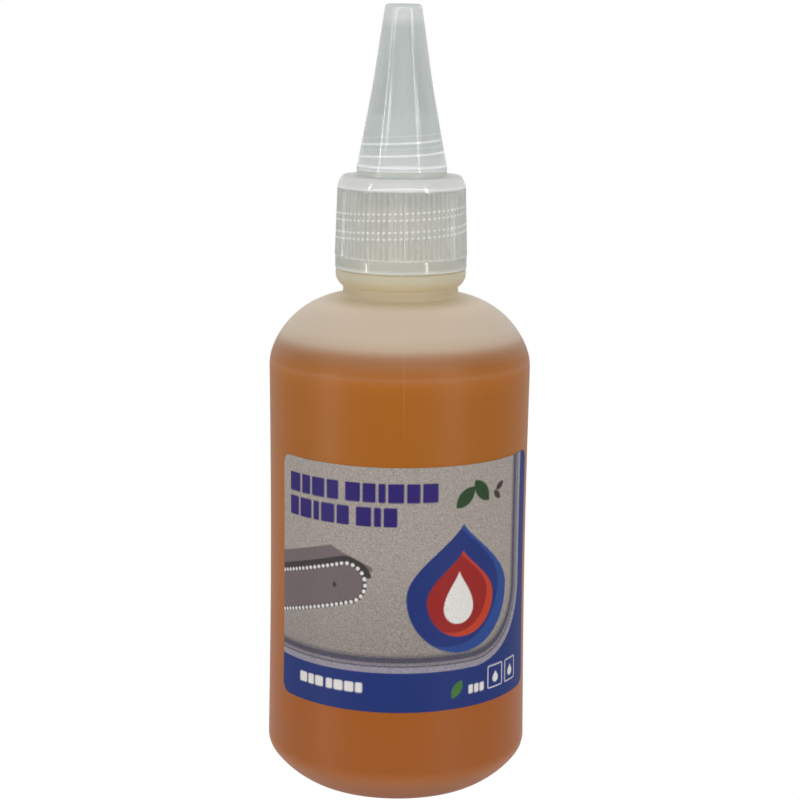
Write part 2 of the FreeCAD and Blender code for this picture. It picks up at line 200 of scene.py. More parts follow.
class OilBottleFinish(PropertyGroup):
    milky: colour("Milky plastic", "Natural plastic over the oil", 225, 210, 189)
    neck: colour("Neck plastic", "Natural plastic of the neck, which the oil has tinted", 206, 199, 175)
    # yellower and darker than the neck: partly its tint, partly painted shade at the neck's root
    root: colour("Neck root", "Natural plastic of the neck's root, tinted more", 200, 187, 157)
    wetted: colour("Wetted plastic", "Natural plastic with oil behind it", 180, 107, 14)
    deep: colour("Deep plastic", "Natural plastic with oil behind it near the foot", 175, 97, 20)
    oil: colour("Oil", "Amber oil", 180, 104, 18)
    cap: colour("Cap plastic", "Natural plastic of the cap", 208, 209, 203)
    nozzle: colour("Nozzle plastic", "Natural plastic of the nozzle", 209, 214, 212)
    # painted shade: the darker column that the nozzle's hollow shows through its wall
    core: colour("Nozzle hollow", "Plastic round the hollow, with less to scatter light", 176, 183, 185)
    # white of the painted highlights and painted light on edges, thread flanks and corners
    edge: colour("Milky edge", "Edges and thread flanks that scatter the light", 255, 255, 255)
    # dark foam that also stands in as painted shade for the hollow under the cap's top
    gasket: colour("Gasket", "Soft foam of the cap's seal", 88, 86, 72)
    washer: colour("Washer", "Soft seal under the nozzle", 196, 202, 195)
    label_field: colour("Label field", "Silver grey of the label", 161, 152, 145)
    label_shade: colour("Label shade", "Dark lines round the grey field", 80, 78, 92)
    label_line: colour("Label line", "Pale line round the grey field", 148, 144, 155)
    label_dim_line: colour("Label dim line", "Dimmer pale line inside it", 132, 125, 132)
    label_blue: colour("Label blue", "Deep blue of the label", 31, 50, 115)
    label_bright_blue: colour("Label bright blue", "Lit side of the large drop", 42, 72, 140)
    label_purple: colour("Label purple", "Purple blue of the heading's blocks", 45, 32, 105)
    label_red: colour("Label red", "Red of the middle drop", 150, 34, 30)
    label_bright_red: colour("Label bright red", "Lit side of the middle drop", 190, 62, 36)
    label_green: colour("Label green", "Green of the leaves", 41, 68, 38)
    label_bright_green: colour("Label bright green", "Green of the small leaf", 70, 118, 56)
    label_white: colour("Label white", "White of the small marks", 226, 222, 218)
    label_steel: colour("Label steel", "Grey of the guide bar", 112, 100, 101)
    label_dark: colour("Label dark", "Dark of the chain's channel", 62, 55, 56)


class OilBottleStage(PropertyGroup):
    lens: ratio("Lens", "Focal length on a 36 mm sensor", 85.5)
    distance: length("Distance", "How far the camera stands in front of the axis", 316.71)
    height: length("Height", "Height of the camera", 127.49)
    pitch: angle("Pitch", "How far it looks down", 11.20763)
    roll: angle("Roll", "How far it leans to the left", 0.634264)
    yaw: angle("Yaw", "How far it looks to the left", -0.020054)
    room_light: ratio("Room light", "Brightness of the room on the camera's side", 0.275)
    backdrop_light: ratio("Backdrop light", "Brightness of the white backdrop behind the object", 0.82)
    strip_light: ratio("Strip light", "Brightness of the strip lights", 1.0)


def line_run(start, finish, steps):
    """Evenly spaced points from start to finish on a straight line."""
    share = np.linspace(0.0, 1.0, steps + 1)[:, None]
    return np.array(start) * (1 - share) + np.array(finish) * share


def arc_centre(start, finish, radius):
    """Centre of the short arc from start to finish that bulges to the right of the way along it: the
    chord's middle moved to its left by the root of radius squared less half chord squared."""
    chord = finish - start
    span = np.hypot(*chord)
    left = np.array([-chord[1], chord[0]]) / span
    return (start + finish) / 2 + left * math.sqrt(radius ** 2 - span ** 2 / 4)


def arc_run(start, finish, radius, steps):
    """Points on that arc, at even steps of the angle about its centre."""
    start, finish = np.array(start), np.array(finish)
    centre = arc_centre(start, finish, radius)
    first, last = (math.atan2(*(end - centre)[::-1]) for end in (start, finish))
    turn = (last - first + math.pi) % FULL_TURN - math.pi
    angles = first + turn * np.linspace(0.0, 1.0, steps + 1)
    return centre + radius * np.stack([np.cos(angles), np.sin(angles)], axis=1)


def joined(*runs):
    """One profile from runs that follow each other, without the points that two runs share."""
    points = np.concatenate(runs)
    steps = np.hypot(*np.diff(points, axis=0).T)
    return points[np.concatenate([[True], steps > SAME_POINT])]


def outline(start, *legs):
    """A profile along legs that follow each other. Each leg has its end as radius and height, its number of
    steps and, where it is an arc, the arc's radius."""
    runs = []
    for finish, steps, *bend in legs:
        runs.append(arc_run(start, finish, *bend, steps) if bend else line_run(start, finish, steps))
        start = finish
    return joined(*runs)


def softened(profile, corner, radius, steps=6):
    """The profile with one corner rounded off.

    The points nearer to the corner than radius are replaced by a parabola that leaves and meets the
    profile in its own directions: the weights are (1-t) squared, 2t(1-t) and t squared."""
    corner = np.array(corner)
    replaced = np.flatnonzero(np.hypot(*(profile - corner).T) < radius)
    first, last = replaced[0], replaced[-1]

    def at_radius(inner, outer):
        away, step = profile[inner] - corner, profile[outer] - profile[inner]
        a, b, c = step @ step, 2 * away @ step, away @ away - radius ** 2
        return profile[inner] + step * (-b + math.sqrt(b * b - 4 * a * c)) / (2 * a)

    start, finish = at_radius(first, first - 1), at_radius(last, last + 1)
    share = np.linspace(0.0, 1.0, steps + 1)[:, None]
    curve = (1 - share) ** 2 * start + 2 * share * (1 - share) * corner + share ** 2 * finish
    return np.concatenate([profile[:first], curve, profile[last + 1:]])


def smooth_step(share):
    """0 below 0 and 1 above 1, with 3s squared less 2s cubed between."""
    share = np.clip(share, 0.0, 1.0)
    return share * share * (3 - 2 * share)


def thread_section(angles, heights, thread, foot):
    """How much of its depth a right-hand thread's section has at each angle and height, and how much of the
    thread is there along its length, both from 0 to 1.

    The ridge's middle climbs one lead a turn from its start. The ridge is full within half its crest of
    that line, nothing beyond half its base, a smooth step between, and it fades in and out over a part of
    a turn at its ends."""
    turn = (angles % FULL_TURN) / FULL_TURN
    rise = heights - foot - thread.start
    lap = np.clip(np.round(rise / thread.lead - turn), np.ceil(-turn), np.floor(thread.turns - turn))
    along = turn + lap
    aside = np.abs(rise - along * thread.lead)
    section = smooth_step((thread.base / 2 - aside) / (thread.base / 2 - thread.crest / 2))
    fade = smooth_step(along / THREAD_RUN_OUT) * smooth_step((thread.turns - along) / THREAD_RUN_OUT)
    return section, fade


def thread_share(angles, heights, thread, foot):
    """How much of its depth a thread stands out at each angle and height, from 0 to 1."""
    section, fade = thread_section(angles, heights, thread, foot)
    return section * fade


def thread_flank(angles, heights, thread, foot):
    """How much each point lies on a thread's flank: 4 s (1 - s) of its section's share of the depth."""
    section, fade = thread_section(angles, heights, thread, foot)
    return 4 * section * (1 - section) * fade


def near(values, middle, width):
    """1 at the middle, falling to 0 at the width on either side of it, with a smooth step."""
    return smooth_step(1 - np.abs(values - middle) / width)


def lit_edges(heights, *edges):
    """Painted highlight share of edges round the axis, each given by its height, half width and strength."""
    return sum(strength * near(heights, middle, width) for middle, width, strength in edges)


def keep_share(piece, name, share):
    """Keeps a share for each point, such as the painted highlight on an edge or a flank, for the finish to
    read.
    """
    layer = piece.data.attributes.new(name, "FLOAT", "POINT")
    values = np.zeros(len(piece.data.vertices), dtype=np.float32)
    values[:share.size] = np.clip(share, 0.0, 1.0).ravel()
    layer.data.foreach_set("value", values)


def turned_grid(profile, sides, more=()):
    """Angles, radii and heights of a profile turned round the axis, one row for each angle: even steps, and
    any more that a fine detail needs."""
    even = np.linspace(0.0, FULL_TURN, sides, endpoint=False)
    steps = np.sort(np.concatenate([even, np.array(more) % FULL_TURN]))
    angles = steps[:, None] + np.zeros(len(profile))
    return angles, profile[:, 0] + np.zeros_like(angles), profile[:, 1] + np.zeros_like(angles)


def turned_points(angles, radii, heights):
    """Places in space: x is radius times cosine, y is radius times sine, z is height."""
    return np.stack([radii * np.cos(angles), radii * np.sin(angles), heights], axis=-1).reshape(-1, 3)


def grid_faces(rows, following):
    """Four-sided faces between rows of point numbers and the rows that follow them."""
    corners = [rows[:, :-1], following[:, :-1], following[:, 1:], rows[:, 1:]]
    return np.stack(corners, axis=-1).reshape(-1, 4).tolist()


def turned_piece(name, angles, radii, heights):
    """A closed surface of turning.

    A profile that begins and ends on the axis gets one pole vertex at each end. Any other profile is a
    loop, whose last point joins its first."""
    poles = radii[0, 0] < ON_AXIS
    ends = heights[0, [0, -1]]
    if poles:
        angles, radii, heights = angles[:, 1:-1], radii[:, 1:-1], heights[:, 1:-1]
    points = turned_points(angles, radii, heights)
    index = np.arange(len(points)).reshape(radii.shape)
    if not poles:
        index = np.concatenate([index, index[:, :1]], axis=1)
    following = np.roll(index, -1, axis=0)
    faces = grid_faces(index, following)
    if poles:
        first, last = (np.full(len(index), len(points) + end) for end in (0, 1))
        points = np.concatenate([points, [[0, 0, ends[0]], [0, 0, ends[1]]]])
        faces += np.stack([first, following[:, 0], index[:, 0]], axis=-1).tolist()
        faces += np.stack([last, index[:, -1], following[:, -1]], axis=-1).tolist()
    return mesh_object(name, points, faces)


def mesh_object(name, points, faces):
    mesh = bpy.data.meshes.new(name)
    mesh.from_pydata(points.tolist(), [], faces)
    mesh.update()
    mesh.shade_smooth()
    mesh.set_sharp_from_angle(angle=SHARP_ANGLE)
    piece = bpy.data.objects.new(name, mesh)
    bpy.context.scene.collection.objects.link(piece)
    return piece


def dressed(piece, material, body, node):
    """Gives a piece its finish, lets it move with its body and stand for its CAD node."""
    piece.data.materials.append(material)
    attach(piece, body)
    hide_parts(node)


def redressed(node, material):
    """Gives a piece that stays as CAD made it its finish."""
    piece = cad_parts[node]
    piece.data.materials.clear()
    piece.data.materials.append(material)


def set_inputs(tree, node, inputs):
    """Sets each input of a node to a value, or links it to another node's output."""
    for name, value in inputs.items():
        if isinstance(value, bpy.types.NodeSocket):
            tree.links.new(value, node.inputs[name])
        else:
            node.inputs[name].default_value = value


def add_node(tree, kind, inputs, **settings):
    """A new node with its settings and its inputs."""
    node = tree.nodes.new(kind)
    for name, setting in settings.items():
        setattr(node, name, setting)
    set_inputs(tree, node, inputs)
    return node


def new_material(name):
    """A material, its node tree and its surface."""
    material = bpy.data.materials.new(name)
    material.use_nodes = True
    return material, material.node_tree, material.node_tree.nodes["Principled BSDF"]


def place_part(tree, space, part):
    """One part, such as Z, of the place or direction that a texture coordinate gives."""
    place = add_node(tree, "ShaderNodeTexCoord", {})
    parts = add_node(tree, "ShaderNodeSeparateXYZ", {"Vector": place.outputs[space]})
    return parts.outputs[part]


def kept_share(tree, name):
    """A share that the piece keeps for each point."""
    return add_node(tree, "ShaderNodeAttribute", {}, attribute_name=name).outputs["Fac"]


def toned(tree, below, share, tone):
    """Colour that passes from the one below into a tone as the share goes from 0 to 1."""
    inputs = {"Factor": share, "A": below, "B": (*tone, 1.0)}
    return add_node(tree, "ShaderNodeMix", inputs, data_type="RGBA").outputs["Result"]


def ranged(tree, share, least, most):
    """Value that passes from the least to the most as the share goes from 0 to 1."""
    inputs = {"Value": share, "To Min": least, "To Max": most}
    return add_node(tree, "ShaderNodeMapRange", inputs).outputs["Result"]


def either(tree, share, first, second):
    """Shader that passes from the first to the second as the share goes from 0 to 1."""
    inputs = {"Fac": share, 1: first, 2: second}
    return add_node(tree, "ShaderNodeMixShader", inputs).outputs["Shader"]


def plastic(name, base, roughness, transmission, bend=1.5, edge=None, core=None):
    """Natural plastic: part milky, part see-through, with a smooth skin.

    Given an edge tone, it passes into the core tone, a painted shade, in a hollow, and into the edge's,
    white and not see-through, where the piece has a painted highlight or painted light; and it is rough
    where the piece is matte."""
    material, tree, surface = new_material(name)
    ground = (*base, 1.0)
    skin = {"Base Color": ground, "Roughness": roughness, "IOR": bend, "Transmission Weight": transmission}
    set_inputs(tree, surface, skin)
    if edge is not None:
        # the milky share carries painted highlights and painted light, the hollow share a painted shade
        milky, matte = kept_share(tree, "milky"), kept_share(tree, "matte")
        hollow = toned(tree, ground, kept_share(tree, "hollow"), core or base)
        parts = {
            "Base Color": toned(tree, hollow, milky, edge),
            "Roughness": ranged(tree, matte, roughness, MATTE_ROUGHNESS),
            "Transmission Weight": ranged(tree, milky, transmission, 0.0),
        }
        set_inputs(tree, surface, parts)
    return material


def shell_material(finish):
    """Matte natural plastic that is amber where the oil lies behind it and milky over it.

    The colour is a ramp over the height: near the oil's level the two tones pass into each other, because
    light from over the oil still reaches the wall there. The ramp also paints light and shade: a painted
    reflection of the white floor on the foot, a painted highlight along the shoulder's corner with slight
    painted shade under the oil's level, and painted shade and painted light round the neck's root, the bead
    and the cap's skirt. Each stop has its height and its mix of tones."""
    material, tree, surface = new_material("frosted_bottle_plastic")
    top, level = high("bottle"), high("oil")
    deep, wetted, clear = (np.array(tone) for tone in (finish.deep, finish.wetted, finish.milky))
    root, neck = np.array(finish.root), np.array(finish.neck)
    stops = [
        # painted reflection of the white floor: the foot is lighter up to 6.5 mm
        (0.0, deep * 0.97 + clear * 0.12),
        (4.4 * MM, deep * 0.98 + clear * 0.14),
        (6.5 * MM, deep * 0.97 + clear * 0.02),
        (17.0 * MM, deep),
        (level - 13.0 * MM, wetted * 0.94),
        (level - 7.5 * MM, wetted * 0.95),
        (level - 5.0 * MM, wetted * 0.98 + clear * 0.01),
        # painted highlight: a lighter line along the shoulder's corner, then slight painted shade under the
        # oil's level
        (level - 4.1 * MM, wetted * 0.99 + clear * 0.03),
        (level - 3.2 * MM, wetted * 0.92 + clear * 0.03),
        (level - 2.1 * MM, wetted * 0.84 + clear * 0.05),
        (level - 1.0 * MM, wetted * 0.68 + clear * 0.13),
        (level - 0.2 * MM, wetted * 0.58 + clear * 0.26),
        (level + 0.9 * MM, wetted * 0.2 + clear * 0.72),
        # darker low on the shoulder, then painted light towards the neck's root that lifts the shade of the
        # bead and the cap
        (level + 2.4 * MM, clear * 0.91),
        (level + 3.5 * MM, clear * 0.93),
        (level + 5.0 * MM, clear * 0.98),
        (level + 5.6 * MM, clear * 1.03),
        (level + 6.3 * MM, clear * 1.1),
        # painted shade at the neck's root, and painted light on the bead's underside and just above the bead,
        # under the cap's skirt, where they are shaded
        (level + 6.9 * MM, root * 1.14),
        (level + 7.6 * MM, root * 0.94),
        (level + 8.5 * MM, root * 0.96),
        (level + 8.8 * MM, root * 1.22),
        (level + 9.6 * MM, root * 1.12),
        (level + 10.3 * MM, neck),
        (level + 11.2 * MM, neck),
        (level + 11.8 * MM, root * 1.15),
        (level + 17.0 * MM, neck),
    ]
    share = add_node(tree, "ShaderNodeMapRange", {"Value": place_part(tree, "Object", "Z"), "From Max": top})
    ramp = add_node(tree, "ShaderNodeValToRGB", {"Fac": share.outputs["Result"]})
    elements = ramp.color_ramp.elements
    for height, _ in stops[1:-1]:
        elements.new(height / top)
    for element, (height, tone) in zip(elements, stops):
        element.position = height / top
        element.color = (*tone, 1.0)
    skin = {
        # painted highlights: the colour turns white where the milky share marks a bright line
        "Base Color": toned(tree, ramp.outputs["Color"], kept_share(tree, "milky"), finish.edge),
        "Roughness": 0.42,
        "IOR": 1.36,
        "Sheen Weight": 0.15,
        "Sheen Roughness": 0.4,
        "Transmission Weight": 0.25,
    }
    set_inputs(tree, surface, skin)
    return material


def label_material():
    """Printed film: the print's own colour with a fine dark and light speckle, as strong as the grain kept
    in the colour's fourth part."""
    material, tree, surface = new_material("printed_label_film")
    ink = add_node(tree, "ShaderNodeVertexColor", {}, layer_name="print")
    place = add_node(tree, "ShaderNodeTexCoord", {})
    fine = {"Vector": place.outputs["Object"], "Scale": 4200.0, "Detail": 2.0}
    noise = add_node(tree, "ShaderNodeTexNoise", fine)
    contrast = {"From Min": 0.25, "From Max": 0.75, "To Min": 0.66, "To Max": 1.34}
    speckle = add_node(tree, "ShaderNodeMapRange", {"Value": noise.outputs["Fac"], **contrast})
    shares = {"Factor": ink.outputs["Alpha"], "A": 1.0, "B": speckle.outputs["Result"]}
    strength = add_node(tree, "ShaderNodeMix", shares)
    parts = {"Vector": ink.outputs["Color"], "Scale": strength.outputs["Result"]}
    tone = add_node(tree, "ShaderNodeVectorMath", parts, operation="SCALE")
    film = {"Base Color": tone.outputs["Vector"], "Roughness": 0.5, "Specular IOR Level": 0.2}
    set_inputs(tree, surface, film)
    return material


def side_radius(shell, heights):
    """Outer radius of the side: drawn in at the waist by half a sine wave between foot and shoulder."""
    foot = reach("bottle")
    share = np.clip((heights - shell.foot_height) / (shell.body_height - shell.foot_height), 0.0, 1.0)
    straight = foot + (shell.body_radius - foot) * share
    middle = (foot + shell.body_radius) / 2
    bow = middle - (shell.body_radius - shell.waist_depth)
    return straight - bow * np.sin(math.pi * share)


def dome_centre(shell, neck_radius):
    """Centre of the shoulder's arc, from its two ends and its radius."""
    start = np.array([shell.body_radius, shell.body_height])
    finish = np.array([neck_radius, shell.body_height + shell.shoulder_height])
    return arc_centre(start, finish, shell.dome_radius)


def base_outline(shell, skin, gap, radius, steps):
    """Profile of the base from the axis out over the standing ring and up the foot's curve to a radius, a
    skin inside the outer face and a gap inside the ring's outer edge."""
    ring_outer = reach("bottle") - shell.foot_bevel
    ring_inner = ring_outer - shell.ring_width
    rise = shell.push_up + skin
    return outline(
        (0.0, rise),
        ((ring_inner - shell.push_up_run, rise), 6),
        ((ring_inner, skin), 4),
        ((ring_outer - gap, skin), 3),
        ((radius, shell.foot_height), steps, shell.foot_arc_radius),
    )


def inner_side(shell, centre, gap, top):
    """Profile of the cavity from the axis out and up to a height, gap inside the wall's inner face."""
    skin = shell.wall + gap
    radius = shell.body_radius - shell.waist_depth - skin
    dome = shell.dome_radius - skin
    dome_start = (radius, centre[1] + math.sqrt(dome ** 2 - (radius - centre[0]) ** 2))
    dome_end = (centre[0] + math.sqrt(dome ** 2 - (top - centre[1]) ** 2), top)
    side = outline((radius, shell.foot_height), (dome_start, 24), (dome_end, 24, dome))
    return joined(base_outline(shell, skin, gap, radius, 10), side)


class OILBOTTLE_OT_shell(Operator):
    """Blown bottle of natural plastic with its threaded neck"""

    bl_idname = "oil_bottle.shell"
    bl_label = "Bottle"

    def execute(self, context):
        scene = context.scene
        shell, thread = scene.oil_bottle_shell, scene.oil_bottle_neck_thread
        foot, lip, level = reach("bottle"), high("bottle"), high("oil")
        bore = shell.neck_bore_radius
        neck_face = bore + shell.neck_wall
        neck = neck_face + shell.neck_step
        bead = neck + shell.bead_overhang
        dome_top = shell.body_height + shell.shoulder_height
        bead_bottom = dome_top + shell.root_height
        bead_full = bead_bottom + shell.bead_rise
        bead_top = bead_full + shell.bead_land
        side_heights = np.linspace(shell.foot_height, shell.body_height, 60)
        side = np.stack([side_radius(shell, side_heights), side_heights], axis=1)
        foot_edge, ridge = (foot, shell.foot_height), (shell.body_radius, shell.body_height)
        over_side = outline(
            ridge,
            ((neck, dome_top), 48, shell.dome_radius),
            ((neck, bead_bottom), 6),
            ((bead, bead_full), 12, shell.bead_arc_radius),
            ((bead, bead_top), 3),
            ((neck_face, bead_top), 6),
            ((neck_face, lip), 72),
            ((bore, lip), 6),
        )
        outer = joined(base_outline(shell, 0.0, 0.0, foot, 16), side, over_side)
        for corner, radius in (
            (foot_edge, shell.foot_round),
            (ridge, shell.ridge_round),
            ((neck, dome_top), shell.root_round),
            ((bead, bead_top), shell.lip_round),
            ((neck_face, lip), shell.lip_round),
        ):
            outer = softened(outer, corner, radius)
        centre = dome_centre(shell, neck)
        dome = shell.dome_radius - shell.wall
        throat = centre[1] + math.sqrt(dome ** 2 - (bore - centre[0]) ** 2)
        inner = joined(inner_side(shell, centre, 0.0, throat), line_run((bore, throat), (bore, lip), 12))
        seams = [FRONT + shell.seam_turn, FRONT + math.pi + shell.seam_turn]
        fine = [seam + way * shell.seam_spread for seam in seams for way in (-1, 0, 1)]
        angles, radii, heights = turned_grid(joined(outer, inner[::-1]), BOTTLE_SIDES, fine)
        outside = np.arange(radii.shape[1]) < len(outer)
        on_neck = outside & (heights[0] > bead_top + HAIR) & (radii[0] > bore)
        radii += on_neck * thread_share(angles, heights, thread, bead_top) * thread.depth
        aside = np.abs((angles - seams[0] + math.pi / 2) % math.pi - math.pi / 2)
        over_foot = smooth_step((heights - 2 * shell.foot_height) / shell.foot_height)
        on_side = outside * (over_foot * (heights < bead_full))
        seam = on_side * np.clip(1 - aside / shell.seam_spread, 0.0, 1.0)
        radii += seam * shell.seam_rise
        piece = turned_piece("frosted_bottle", angles, radii, heights)
        # painted highlights, kept as the milky share: bright lines on the neck thread's flanks, seen through
        # the cap, a lighter parting line and a lighter line along the shoulder's corner
        seam_highlight, seam_low = 0.07, side_heights[len(side_heights) * 3 // 4]
        ridge_highlight, ridge_spread = 0.04, 0.6 * MM
        milky = on_neck * thread_flank(angles, heights, thread, bead_top)
        milky += seam_highlight * smooth_step((heights - seam_low) / (level - seam_low)) * seam
        milky += ridge_highlight * outside * near(heights, shell.body_height, ridge_spread)
        keep_share(piece, "milky", milky[:, 1:-1])
        material = shell_material(scene.oil_bottle_finish)
        dressed(piece, material, "bottle_body", "bottle")
        return {"FINISHED"}


class OILBOTTLE_OT_oil(Operator):
    """Amber oil that fills the bottle to its level"""

    bl_idname = "oil_bottle.oil"
    bl_label = "Oil"

    def execute(self, context):
        scene = context.scene
        shell = scene.oil_bottle_shell
        neck = shell.neck_bore_radius + shell.neck_wall + shell.neck_step
        level = high("oil")
        side = inner_side(shell, dome_centre(shell, neck), shell.oil_gap, level)
        rim = side[-1, 0]
        across = np.linspace(rim, 0.0, 24)[1:]
        dip = shell.oil_sag * smooth_step((rim - across) / shell.oil_sag_run)
        surface = np.stack([across, level - dip], axis=1)
        piece = turned_piece("oil_fill", *turned_grid(joined(side, surface), OIL_SIDES))
        material = plastic("amber_oil", scene.oil_bottle_finish.oil, roughness=0.12, transmission=0.0)
        dressed(piece, material, "bottle_body", "oil")
        return {"FINISHED"}


def rounded_box(across, up, centre, half, corner):
    """Distance outside a box with rounded corners, negative inside: the length of the positive parts of
    (distance from the centre less half size plus corner), less corner."""
    beyond_x = np.abs(across - centre[0]) - half[0] + corner
    beyond_y = np.abs(up - centre[1]) - half[1] + corner
    outside = np.hypot(np.maximum(beyond_x, 0.0), np.maximum(beyond_y, 0.0))
    return outside + np.minimum(np.maximum(beyond_x, beyond_y), 0.0) - corner


def drop_shape(across, up, centre, radius, tip):
    """Distance outside an oil drop, negative inside: a half circle below, and above its middle a half width
    of radius times the cosine of a quarter turn, to a power, up to a tip so many radii high."""
    power = 1.3
    x, y = across - centre[0], up - centre[1]
    share = np.clip(y / (tip * radius), 0.0, 1.0)
    above = np.abs(x) - radius * np.cos(share * math.pi / 2) ** power
    below = np.hypot(x, y) - radius
    return np.where(y > 0, np.maximum(above, y - tip * radius), below)


def leaned(across, up, centre, lean):
    """Places along and beside a line through the centre that leans up to the right by an angle."""
    right, rise = across - centre[0], up - centre[1]
    cos, sin = math.cos(lean), math.sin(lean)
    return right * cos + rise * sin, rise * cos - right * sin


def leaf_shape(across, up, centre, size, lean):
    """Distance outside a leaf two sizes long, negative inside: where two circles of the same radius overlap,
    which is the root of size squared plus offset squared."""
    along, beside = leaned(across, up, centre, lean)
    offset, radius = 0.75 * size, 1.25 * size
    return np.maximum(np.hypot(along, beside - offset), np.hypot(along, beside + offset)) - radius


def field_layers(finish, across, up, wide, tall):
    """Two pale stripes with dark lines, a shade, and the grey field, dim at its foot: each is open to the
    left and the top, with a large round lower right corner, and lies an inset inside the first outline."""
    margin, bottom, corner = 4.9, 8.8, 10.5
    foot_dim, dim_bottom, dim_height = 0.79, 9.0, 17.0
    shade = np.array(finish.label_shade)
    lit = np.clip((up - dim_bottom) / dim_height, 0.0, 1.0)[..., None]
    grey = np.array(finish.label_field) * (foot_dim + (1 - foot_dim) * lit)
    for inset, tone in (
        (-2.1, finish.label_line),
        (-1.1, shade),
        (-0.86, finish.label_dim_line),
        (-0.36, shade),
        (0.5, shade * 0.6 + grey * 0.4),
        (0.8, shade * 0.25 + grey * 0.75),
        (1.15, grey),
    ):
        right, lower = wide / 2 - margin - inset, bottom + inset
        half = ((right + wide) / 2, (tall * 1.5 - lower) / 2)
        yield rounded_box(across, up, (right - half[0], lower + half[1]), half, corner - inset), tone


def block_layers(finish, across, up):
    """Rows of plain blocks with even gaps, two in the heading and two at the foot; a width of nothing leaves
    a wider space."""
    corner = 0.25
    purple, white = finish.label_purple, finish.label_white
    for left, bottom, height, gap, widths, tone in (
        (-23.4, 35.2, 3.2, 0.4, (2.6, 1.9, 2.6, 2.2, 0.0, 0.0, 2.6, 2.2, 1.2, 2.6, 2.2, 2.6), purple),
        (-23.4, 31.2, 3.2, 0.4, (2.2, 2.6, 1.2, 2.6, 2.2, 0.0, 0.0, 2.6, 1.2, 2.2), purple),
        (-20.6, 3.1, 1.7, 0.3, (1.6, 1.2, 1.6, 0.0, 1.2, 1.6, 1.6, 1.2), white),
        (9.6, 2.2, 1.5, 0.25, (0.9, 0.9, 0.9), white),
    ):
        for width in widths:
            middle, half = (left + width / 2, bottom + height / 2), (width / 2, height / 2)
            if width:
                yield rounded_box(across, up, middle, half, corner), tone
            left += width + gap


def leaf_layers(finish, across, up):
    """Two large leaves and two small dark ones over the drops, and one at the foot."""
    for centre, size, lean, tone in (
        ((8.6, 35.6), 2.4, 0.75, finish.label_green),
        ((11.8, 36.4), 2.4, 2.25, finish.label_green),
        ((15.9, 36.6), 1.1, 0.6, finish.label_dark),
        ((15.3, 35.2), 1.1, 2.4, finish.label_dark),
        ((7.4, 3.3), 1.7, 1.0, finish.label_bright_green),
    ):
        yield leaf_shape(across, up, centre, size, lean), tone


def bar_layers(finish, across, up):
    """A saw's guide bar with its chain, and a pointed plate behind it, leaning up to the right.

    Along runs to the right from the middle of the bar's nose and beside runs up from the bar's axis. The
    chain is a row of dots at even steps along the bar's edge."""
    nose, half, lean = (-11.4, 21.5), 2.9, 0.27
    chain_step, chain_line, dot_radius = 0.9, 0.35, 0.3
    channel, band = 0.65, 1.6
    slope, point = 0.8, 5.6
    rivet, rivet_radius = -2.2, 0.4
    plate_middle, plate_half, plate_corner = (-10.0, 3.8), (15.0, 2.8), 0.4
    reach_back = 12.0
    steel, dark = finish.label_steel, finish.label_dark
    along, beside = leaned(across, up, nose, lean)
    plate = rounded_box(along, beside, plate_middle, plate_half, plate_corner)
    slanted = (beside + slope * along - point) / math.hypot(1.0, slope)
    bar = rounded_box(along, beside, (-reach_back, 0.0), (reach_back + half, half), half)
    around = np.where(along > 0, half * np.arctan2(along, np.abs(beside)), along)
    from_dot = (around + chain_step / 2) % chain_step - chain_step / 2
    yield np.maximum(plate, slanted), steel
    yield np.maximum(np.maximum(bar - band, slanted), -beside), dark
    yield bar - channel, dark
    yield np.hypot(from_dot, bar - chain_line) - dot_radius, finish.label_white
    yield bar, steel
    yield np.hypot(along - rivet, beside) - rivet_radius, dark


def drop_layers(finish, across, up):
    """Three oil drops inside each other, the dark ones with a lit side where a moved copy leaves them bare,
    and at the foot two squares with a drop."""
    white = finish.label_white
    middle, lit_left, lit_up = 8.3, 0.22, 0.12
    for radius, base, tip, tone, lit in (
        (9.7, 19.3, 1.24, finish.label_blue, finish.label_bright_blue),
        (6.3, 18.6, 1.3, finish.label_red, finish.label_bright_red),
    ):
        whole = drop_shape(across, up, (middle, base), radius, tip)
        aside = (middle - lit_left * radius, base + lit_up * radius)
        yield whole, tone
        yield np.maximum(whole, -drop_shape(across, up, aside, radius, tip)), lit
    inner, inner_radius, inner_tip = (7.6, 17.2), 2.7, 2.3
    yield drop_shape(across, up, inner, inner_radius, inner_tip), white
    base, half_height, corner, line = 4.1, 1.9, 0.3, 0.09
    drop_base, drop_radius, drop_tip = 3.7, 0.7, 1.8
    for middle, half in ((15.6, 1.8), (19.9, 1.6)):
        square = rounded_box(across, up, (middle, base), (half, half_height), corner)
        yield np.abs(square) - line, white
        yield drop_shape(across, up, (middle, drop_base), drop_radius, drop_tip), white


def print_colours(label, finish, across, up, wide, tall):
    """Colour and grain of the label's print: flat fields and plain shapes laid over a blue ground in turn.

    Places on it are in millimetres, across from its middle and up from its lower edge. Each layer covers
    the points whose distance outside its shape is negative, with an edge one grid step soft. The bare
    silver film has the full grain, and ink covers most of it."""
    film_grain, ink_grain = 1.0, 0.35
    across, up, wide, tall, soft = (size / MM for size in (across, up, wide, tall, label.spacing))
    layers = [(*layer, film_grain) for layer in field_layers(finish, across, up, wide, tall)]
    for drawing in (block_layers, leaf_layers, bar_layers, drop_layers):
        layers += [(*layer, ink_grain) for layer in drawing(finish, across, up)]
    tones, grains = np.array(finish.label_blue), np.array([ink_grain])
    for distance, tone, grain in layers:
        cover = smooth_step(0.5 - distance / soft)[..., None]
        tones = tones * (1 - cover) + np.array(tone) * cover
        grains = grains * (1 - cover) + grain * cover
    return np.concatenate([tones, grains], axis=-1)


